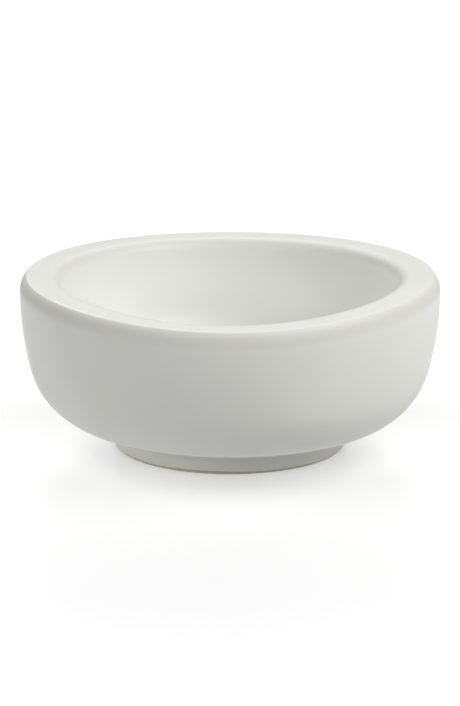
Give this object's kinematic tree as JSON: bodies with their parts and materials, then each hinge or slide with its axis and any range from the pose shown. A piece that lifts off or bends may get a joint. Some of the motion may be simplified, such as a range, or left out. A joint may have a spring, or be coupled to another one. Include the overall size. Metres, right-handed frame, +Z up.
{
  "type": "shaving bowl",
  "caption": "Round ceramic lather bowl with a wide flat rim, rounded belly and low foot ring, glazed inside and out with a bare standing edge.",
  "frame": {"origin": "centre of the circle that the foot ring stands on, level with the table", "axes": "+Z up along the bowl's axis of revolution; X and Y point anywhere, because the bowl is round"},
  "size_m": [0.12, 0.12, 0.0493],
  "materials": {
    "clay": "bare fired clay, matt",
    "inside_glaze": "satin gloss",
    "outside_glaze": "satin gloss"
  },
  "bodies": {
    "root": {"clay_body": "clay", "foot_ring": "clay", "liner_glaze": "inside_glaze", "outer_glaze": "outside_glaze", "underside_glaze": "outside_glaze"}
  },
  "joints": []
}
